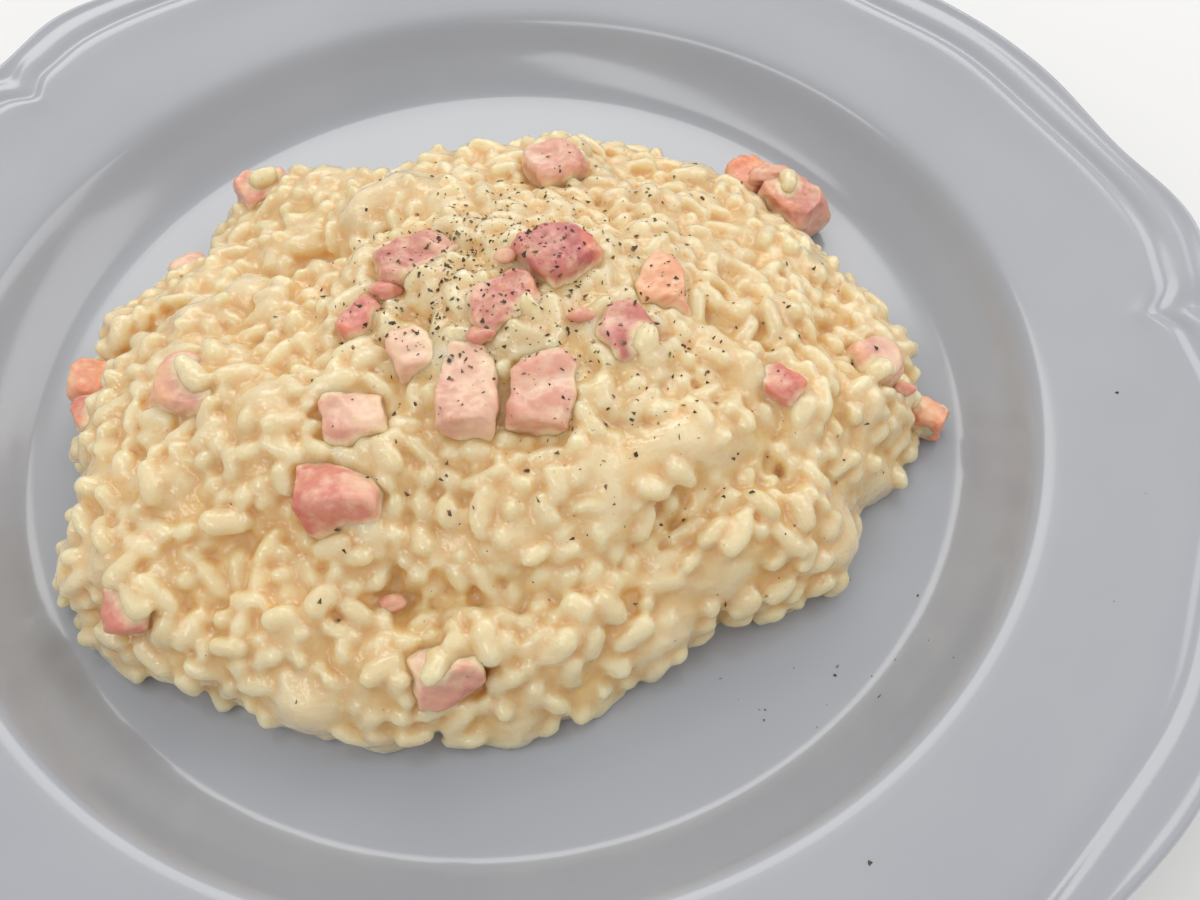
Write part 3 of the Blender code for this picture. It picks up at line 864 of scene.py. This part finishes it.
def ham_under_cream():
    """The ham's solids a little smaller, so that one skin of cream runs up to them."""
    points, faces = [], []
    for places, triangles in ham_shapes():
        faces += [tuple(len(points) + v for v in triangle) for triangle in triangles]
        places = np.array(places)
        middle = places.mean(axis=0)
        points += list(middle + (places - middle) * HAM_UNDER_CREAM)
    return points, faces


def risotto_mesh(grains):
    """Cream, grains and the ham's insides under one skin, with the cream drawn into every crease."""
    points, faces = [], []
    for more_points, more_faces in (cream_body(), grain_cloud(grains), ham_under_cream()):
        faces += [tuple(len(points) + v for v in face) for face in more_faces]
        points += list(more_points)
    mesh = voxel_union(points, faces)
    drop_bubbles(mesh)
    flat_base(mesh)
    points, edges = mesh_arrays(mesh)
    keep_above_base(mesh, filled(mesh, points, edges))
    mesh = thinned(mesh)
    ruggedise(mesh)
    points, edges = mesh_arrays(mesh)
    paint(mesh, "hollow", hollow_share(mesh, points, edges))
    paint(mesh, "tone", grain_tones(points, grains))
    paint(mesh, "valley", valley_share(points))
    return mesh


def keep_above_base(mesh, points):
    """Moves the mesh to these points, with none under the heap's base."""
    points[:, 2] = np.maximum(points[:, 2], HEAP_BASE)
    move_points(mesh, points)


def ruggedise(mesh):
    """Takes the evenness from the grains with small dents and bulges."""
    points, _ = mesh_arrays(mesh)
    waves = RUGGED_WAVES
    rise = [sum(height * smooth_noise(p, scale, RUGGED_SEED) for scale, height in waves) for p in points]
    keep_above_base(mesh, points + vertex_normals(mesh) * np.array(rise)[:, None])


def drop_bubbles(mesh):
    """Removes the closed hollows that the skin leaves between grains."""
    work = bmesh.new()
    work.from_mesh(mesh)
    left = set(work.verts)
    doomed = []
    while left:
        first = left.pop()
        shell, edge = [first], [first]
        while edge:
            vert = edge.pop()
            for link in vert.link_edges:
                other = link.other_vert(vert)
                if other in left:
                    left.remove(other)
                    shell.append(other)
                    edge.append(other)
        top = max(shell, key=lambda vert: vert.co.z)
        if top.normal.z < 0 or len(shell) < FEWEST_POINTS:
            doomed += shell
    bmesh.ops.delete(work, geom=doomed, context="VERTS")
    work.to_mesh(mesh)
    work.free()


def thinned(mesh):
    """The same skin within the limit on triangles."""
    mesh.calc_loop_triangles()
    thing = throwaway("thinned", mesh)
    thinner = thing.modifiers.new("thin", "DECIMATE")
    thinner.ratio = min(1.0, MOST_TRIANGLES / len(mesh.loop_triangles))
    return made_by(thing)


def flat_base(mesh):
    """Makes the flat underside one face."""
    work = bmesh.new()
    work.from_mesh(mesh)
    floor = WELL_TOP + VOXEL * BASE_LAYER
    down = [face for face in work.faces if face.normal.z < BASE_FACING]
    low = [face for face in down if all(vert.co.z < floor for vert in face.verts)]
    bmesh.ops.dissolve_faces(work, faces=low, use_verts=False)
    work.to_mesh(mesh)
    work.free()


def hollow_share(mesh, points, edges):
    """How far each point lies in a crevice, from -1 on a crest to 1 in a hollow."""
    broad = relaxed(points, edges, HOLLOW_ROUNDS)
    return np.clip(-((points - broad) * vertex_normals(mesh)).sum(axis=1) / HOLLOW_DEPTH, -1, 1)


def valley_share(points):
    """How far each point lies under the smooth heap, from 0 on the clumps to 1 in the valleys between,
    where the risotto's colour is darkened as painted shade.
    """
    places, faces = smooth_heap()
    tree = BVHTree.FromPolygons([Vector(p) for p in places], faces)
    shares = []
    for point in points:
        place = Vector(point)
        near, normal, _, _ = tree.find_nearest(place)
        shares.append(min(max((VALLEY_TOP - (place - near).dot(normal)) / VALLEY_DEPTH, 0.0), 1.0))
    return shares


def grain_tones(points, grains):
    """A lightness of each grain's own, carried to the points nearest to it."""
    draw = np.random.default_rng(TONE_SEED)
    tree = KDTree(len(grains) * BALLS)
    tones = draw.uniform(0, 1, len(grains))
    for number, (middle, along, _, _, length, _, _) in enumerate(grains):
        for part, share in enumerate(BALL_SHARES):
            tree.insert(middle + along * (length * share), number * BALLS + part)
    tree.balance()
    return [tones[tree.find(Vector(p))[1] // BALLS] for p in points]


# Ham

def ham_mesh(node, number):
    """The node's dice with a fine skin that is dented, ridged along its fibres and layered in colour."""
    mesh = voxel_union(*node_shape(node), HAM_VOXEL)
    points, edges = mesh_arrays(mesh)
    points = relaxed(points, edges, HAM_ROUNDS)
    move_points(mesh, points)
    normals = vertex_normals(mesh)
    middle = points.mean(axis=0)
    reach = np.linalg.norm(points - middle, axis=1).max()
    tilted = Matrix.Rotation(FIRST_TILT + number * LAYER_TILT, 3, "Y")
    turned = Matrix.Rotation(number * LAYER_TURN, 3, "Z") @ tilted
    layer_scale, layer_height = LAYER_WAVES
    fibre_scale, fibre_height = HAM_FIBRES
    layers = []
    for at, place in enumerate(points.copy()):
        along = turned @ Vector(place - middle)
        layers.append(along.z / reach + layer_height * smooth_noise(place, layer_scale, number))
        along.x *= FIBRE_STRETCH
        dent = sum(height * smooth_noise(place, scale, number) for scale, height in HAM_DENTS)
        dent += fibre_height * smooth_noise(along, fibre_scale, number)
        points[at] = place + normals[at] * max(dent, DEEPEST_DENT)
    move_points(mesh, points)
    paint(mesh, "layer", layers)
    paint(mesh, "hollow", hollow_share(mesh, points, edges))
    return mesh


def cream_outside_ham(risotto, trees):
    """A search tree of the risotto's skin where it is outside the ham."""
    places = [vert.co for vert in risotto.data.vertices]
    outside = [place for place in places if depth_in_ham(place, trees) < 0]
    found = KDTree(len(outside))
    for number, place in enumerate(outside):
        found.insert(place, number)
    found.balance()
    return found


def add_ham(materials, cream):
    """Every dice in its look, with a film of cream where it comes out of the heap."""
    for look, names in HAM_LOOKS.items():
        for name in names:
            mesh = ham_mesh(frame["nodes"][name], int(name[-2:]))
            away = [cream.find(vert.co)[2] for vert in mesh.vertices]
            paint(mesh, "cream", [max(0.0, 1 - far / CREAM_VEIL) for far in away])
            mesh.materials.append(materials[look])
            add_piece(name + "_dice", mesh, [name])


def drop(x, y, trees):
    """Where something dropped here comes to lie, and the way that place faces."""
    met = [tree.ray_cast(Vector((x, y, DROP_HEIGHT)), Vector((0, 0, -1)))[:2] for tree in trees]
    met = [(place, normal) for place, normal in met if place is not None]
    return max(met, key=lambda found: found[0].z) if met else (None, None)


def add_scraps(material, trees):
    """Small torn lumps of ham, half sunk in the cream."""
    work = bmesh.new()
    scale, unevenness = SCRAP_WAVES
    for number, (x, y, size) in enumerate(HAM_SCRAPS):
        place, normal = drop(x, y, trees)
        made = bmesh.ops.create_icosphere(work, subdivisions=4, radius=size / 2)["verts"]
        for vert in made:
            out = 1 + unevenness * smooth_noise(vert.co, scale, number * 2.0)
            vert.co = Vector([part * stretch for part, stretch in zip(vert.co, SCRAP_SHAPE)]) * out
            vert.co = place + normal * size * SCRAP_RISE + vert.co
    mesh = bpy.data.meshes.new("ham_scraps")
    work.to_mesh(mesh)
    work.free()
    for name, value in SCRAP_LOOK:
        paint(mesh, name, [value] * len(mesh.vertices))
    mesh.materials.append(material)
    add_piece("ham_scraps", mesh)


# Pepper

def pepper_flake(draw, size):
    """A crushed flake: the hull of a few points in a flat box."""
    work = bmesh.new()
    for _ in range(FLAKE_POINTS):
        place = draw.uniform(-0.5, 0.5, 3)
        work.verts.new(place * (size, size * draw.uniform(*FLAKE_WIDTHS), size * FLAKE_THICKNESS))
    made = bmesh.ops.convex_hull(work, input=work.verts)
    loose = [part for part in made["geom_interior"] if isinstance(part, bmesh.types.BMVert)]
    bmesh.ops.delete(work, geom=loose, context="VERTS")
    work.verts.index_update()
    points = np.array([vert.co for vert in work.verts])
    faces = [tuple(v.index for v in face.verts) for face in work.faces]
    work.free()
    return points, faces


def add_pepper(draw, material, trees, plate_tree):
    """Flakes dropped from above on to whatever they meet first."""
    points, faces, total = [], [], 0
    falls = [(*fall, trees) for fall in PEPPER_FALLS]
    falls += [(*fall, trees + [plate_tree]) for fall in PLATE_FALLS]
    smallest, largest = PEPPER_SIZES
    for x, y, spread, count, below in falls:
        for _ in range(count):
            place, normal = drop(x + draw.normal(0, spread), y + draw.normal(0, spread), below)
            if place is None:
                continue
            size = smallest + (largest - smallest) * draw.uniform() ** PEPPER_COARSENESS
            flake, sides = pepper_flake(draw, size)
            spin = Matrix.Rotation(draw.uniform(0, FULL_TURN), 3, "Z")
            turned = normal.to_track_quat("Z", "Y").to_matrix() @ spin
            flake = flake @ np.array(turned).T + np.array(place + normal * size * FLAKE_RISE)
            points.append(flake)
            faces += [tuple(total + v for v in side) for side in sides]
            total += len(flake)
    mesh = new_mesh("pepper", np.vstack(points), faces)
    mesh.materials.append(material)
    add_piece("pepper", mesh, smooth=False)


# Materials

def new_material(name):
    material = bpy.data.materials.new(name)
    material.use_nodes = True
    tree = material.node_tree
    return material, tree, tree.nodes["Principled BSDF"]


def add_node(tree, kind, **settings):
    node = tree.nodes.new(kind)
    for key, value in settings.items():
        if key in node.inputs:
            node.inputs[key].default_value = value
        else:
            setattr(node, key, value)
    return node


def painted(tree, name):
    """A number that was stored for each vertex."""
    return add_node(tree, "ShaderNodeAttribute", attribute_name=name).outputs["Fac"]


def added(tree, first, second, clamp=False):
    made = add_node(tree, "ShaderNodeMath", operation="ADD", use_clamp=clamp)
    tree.links.new(first, made.inputs[0])
    tree.links.new(second, made.inputs[1])
    return made.outputs[0]


def noise_value(tree, scale, detail=3.0, roughness=0.5):
    """A noise over the object's own coordinates, in metres."""
    coords = add_node(tree, "ShaderNodeTexCoord")
    made = add_node(tree, "ShaderNodeTexNoise", Scale=scale, Detail=detail, Roughness=roughness)
    tree.links.new(coords.outputs["Object"], made.inputs["Vector"])
    return made.outputs["Fac"]


def ramp(tree, value, stops):
    made = add_node(tree, "ShaderNodeValToRGB")
    elements = made.color_ramp.elements
    while len(elements) < len(stops):
        elements.new(0.5)
    for element, (place, colour) in zip(elements, stops):
        element.position = place
        element.color = (*colour, 1.0)
    tree.links.new(value, made.inputs["Fac"])
    return made.outputs["Color"]


def mix(tree, factor, first, second, blend="MIX"):
    made = add_node(tree, "ShaderNodeMix", data_type="RGBA", blend_type=blend)
    for socket, value in ((made.inputs[0], factor), (made.inputs[6], first), (made.inputs[7], second)):
        if isinstance(value, bpy.types.NodeSocket):
            tree.links.new(value, socket)
        else:
            socket.default_value = value if isinstance(value, float) else (*value, 1.0)
    return made.outputs[2]


def to_range(tree, value, low, high, new_low, new_high):
    made = add_node(tree, "ShaderNodeMapRange")
    tree.links.new(value, made.inputs["Value"])
    for name, number in zip(("From Min", "From Max", "To Min", "To Max"), (low, high, new_low, new_high)):
        made.inputs[name].default_value = number
    return made.outputs["Result"]


def bump(tree, shader, height, strength, distance, socket="Normal"):
    made = add_node(tree, "ShaderNodeBump", Strength=strength, Distance=distance)
    tree.links.new(height, made.inputs["Height"])
    tree.links.new(made.outputs["Normal"], shader.inputs[socket])


def glaze_material():
    material, tree, shader = new_material("glaze")
    cloud = noise_value(tree, 26.0, 3.0)
    colour = ramp(tree, cloud, ((0.30, (0.338, 0.353, 0.386)), (0.70, (0.364, 0.378, 0.409))))
    tree.links.new(colour, shader.inputs["Base Color"])
    shader.inputs["Roughness"].default_value = 0.42
    shader.inputs["Specular IOR Level"].default_value = 0.35
    shader.inputs["Coat Weight"].default_value = 1.0
    shader.inputs["Coat Roughness"].default_value = 0.15
    shader.inputs["Coat IOR"].default_value = 1.6
    bump(tree, shader, noise_value(tree, 160.0, 2.0), 0.03, 0.0006)
    return material


def risotto_material():
    material, tree, shader = new_material("risotto")
    hollow = painted(tree, "hollow")
    tone = painted(tree, "tone")
    # Lighter on the crests and darker, more orange into the crevices: partly the cream's own deeper tint
    # there, partly painted shade.
    crevice_shade_and_cream_tint = ramp(
        tree, to_range(tree, hollow, -1.0, 1.0, 0.0, 1.0),
        ((0.20, (0.895, 0.735, 0.458)), (0.50, (0.875, 0.668, 0.350)), (0.80, (0.870, 0.594, 0.228))),
    )
    grain = ramp(tree, tone, ((0.0, (0.90, 0.88, 0.84)), (1.0, (1.0, 1.0, 1.0))))
    colour = mix(tree, 1.0, crevice_shade_and_cream_tint, grain, "MULTIPLY")
    valley = painted(tree, "valley")
    # Painted shade: darker and warmer in the valleys between the clumps.
    low = ramp(
        tree, valley,
        ((0.15, (1.0, 1.0, 1.0)), (0.55, (1.0, 0.960, 0.87)), (0.95, (0.99, 0.890, 0.71))),
    )
    colour = mix(tree, 1.0, colour, low, "MULTIPLY")
    cloud = ramp(tree, noise_value(tree, 55.0, 3.0), ((0.35, (0.95, 0.93, 0.90)), (0.65, (1.0, 1.0, 1.0))))
    colour = mix(tree, 1.0, colour, cloud, "MULTIPLY")
    tree.links.new(colour, shader.inputs["Base Color"])
    shader.inputs["Subsurface Weight"].default_value = 0.85
    shader.inputs["Subsurface Radius"].default_value = (1.0, 0.76, 0.38)
    shader.inputs["Subsurface Scale"].default_value = 0.0060
    shader.inputs["Coat Weight"].default_value = 1.0
    shader.inputs["Coat Roughness"].default_value = 0.06
    shader.inputs["Coat IOR"].default_value = 1.65
    roughness = to_range(tree, noise_value(tree, 300.0), 0.3, 0.7, 0.30, 0.50)
    tree.links.new(roughness, shader.inputs["Roughness"])
    bump(tree, shader, noise_value(tree, 620.0, 6.0, 0.66), 0.6, 0.0009)
    bump(tree, shader, noise_value(tree, 480.0, 3.0, 0.5), 0.45, 0.0009, "Coat Normal")
    return material


def ham_material(name, lean, dark, fat, seared):
    """Meat in layers from dark to lean to fat, seared along its edges and filmed with cream."""
    material, tree, shader = new_material("ham_" + name)
    layer = painted(tree, "layer")
    streaks = to_range(tree, noise_value(tree, 420.0, 4.0, 0.6), 0.3, 0.7, -0.24, 0.24)
    share = to_range(tree, added(tree, layer, streaks), -1.0, 1.0, 0.0, 1.0)
    meat = ramp(tree, share, ((0.06, seared), (0.24, dark), (0.46, lean), (0.70, lean), (0.90, fat)))
    hollow = painted(tree, "hollow")
    meat = mix(tree, to_range(tree, hollow, -0.9, -0.2, 0.40, 0.0), meat, seared)
    cream = painted(tree, "cream")
    smear = to_range(tree, noise_value(tree, 240.0, 4.0, 0.6), 0.35, 0.75, -0.20, 0.55)
    colour = mix(tree, added(tree, cream, smear, clamp=True), meat, CREAM_COLOUR)
    tree.links.new(colour, shader.inputs["Base Color"])
    shader.inputs["Roughness"].default_value = 0.38
    shader.inputs["Coat Weight"].default_value = 0.45
    shader.inputs["Coat Roughness"].default_value = 0.10
    shader.inputs["Subsurface Weight"].default_value = 0.35
    shader.inputs["Subsurface Radius"].default_value = (1.0, 0.40, 0.25)
    shader.inputs["Subsurface Scale"].default_value = 0.0016
    bump(tree, shader, noise_value(tree, 650.0, 4.0), 0.45, 0.0005)
    return material


def pepper_material():
    material, tree, shader = new_material("pepper")
    colour = ramp(
        tree, noise_value(tree, 500.0, 1.0),
        ((0.36, (0.060, 0.044, 0.026)), (0.55, (0.155, 0.112, 0.060)), (0.70, (0.42, 0.31, 0.17))),
    )
    tree.links.new(colour, shader.inputs["Base Color"])
    shader.inputs["Roughness"].default_value = 0.7
    shader.inputs["Specular IOR Level"].default_value = 0.2
    return material


def floor_material():
    material, tree, shader = new_material("floor")
    colour = ramp(tree, noise_value(tree, 3.0, 2.0), ((0.3, (0.80, 0.80, 0.79)), (0.7, (0.84, 0.84, 0.83))))
    tree.links.new(colour, shader.inputs["Base Color"])
    shader.inputs["Roughness"].default_value = 0.8
    return material


# Stage

def add_floor():
    corners = [(x * FLOOR_HALF, y * FLOOR_HALF, 0.0) for x, y in ((-1, -1), (1, -1), (1, 1), (-1, 1))]
    mesh = bpy.data.meshes.new("floor")
    mesh.from_pydata(corners, [], [(0, 1, 2, 3)])
    mesh.materials.append(floor_material())
    floor = bpy.data.objects.new("floor", mesh)
    bpy.context.scene.collection.objects.link(floor)


def add_light(name, place, size, power, colour):
    lamp = bpy.data.lights.new(name, "AREA")
    lamp.shape = "RECTANGLE"
    lamp.size, lamp.size_y = size
    lamp.energy = power
    lamp.color = colour
    thing = bpy.data.objects.new(name, lamp)
    thing.location = place
    thing.rotation_euler = (Vector(place) - Vector(LAMP_AIM)).to_track_quat("Z", "Y").to_euler()
    bpy.context.scene.collection.objects.link(thing)


def add_lights():
    for lamp in LAMPS:
        add_light(*lamp)
    world = bpy.data.worlds.new("room")
    world.use_nodes = True
    sky = world.node_tree.nodes["Background"]
    sky.inputs["Color"].default_value = SKY_COLOUR
    sky.inputs["Strength"].default_value = SKY_STRENGTH
    bpy.context.scene.world = world


def add_camera():
    lens = bpy.data.cameras.new("camera")
    lens.lens = CAMERA_LENS
    lens.sensor_width = CAMERA_SENSOR
    lens.sensor_fit = "HORIZONTAL"
    lens.clip_start = CAMERA_NEAREST
    camera = bpy.data.objects.new("camera", lens)
    camera.location = CAMERA_PLACE
    camera.rotation_euler = [math.radians(turn) for turn in CAMERA_TURN_DEG]
    bpy.context.scene.collection.objects.link(camera)
    bpy.context.scene.camera = camera


def tree_of(piece):
    return BVHTree.FromObject(piece, bpy.context.evaluated_depsgraph_get())


def main():
    add_camera()
    add_floor()
    add_lights()
    scene = bpy.context.scene
    scene.view_settings.view_transform = "Standard"
    scene.view_settings.look = "None"
    plate = add_plate(glaze_material())
    draw = np.random.default_rng(RANDOM_SEED)
    trees = ham_trees()
    grains = pack_grains(draw, trees) + loose_grains(trees)
    mesh = risotto_mesh(grains)
    mesh.materials.append(risotto_material())
    risotto = add_piece("risotto_cream", mesh, ["risotto"])
    bpy.context.view_layer.update()
    cream_tree = tree_of(risotto)
    ham = {look: ham_material(look, *colours) for look, colours in MEAT.items()}
    add_ham(ham, cream_outside_ham(risotto, trees))
    bpy.context.view_layer.update()
    dices = [piece for piece in scene.objects if piece.name.endswith("_dice")]
    trees = [cream_tree] + [tree_of(dice) for dice in dices]
    add_scraps(ham["red"], trees)
    add_pepper(draw, pepper_material(), trees, tree_of(plate))
    bpy.context.view_layer.update()


main()
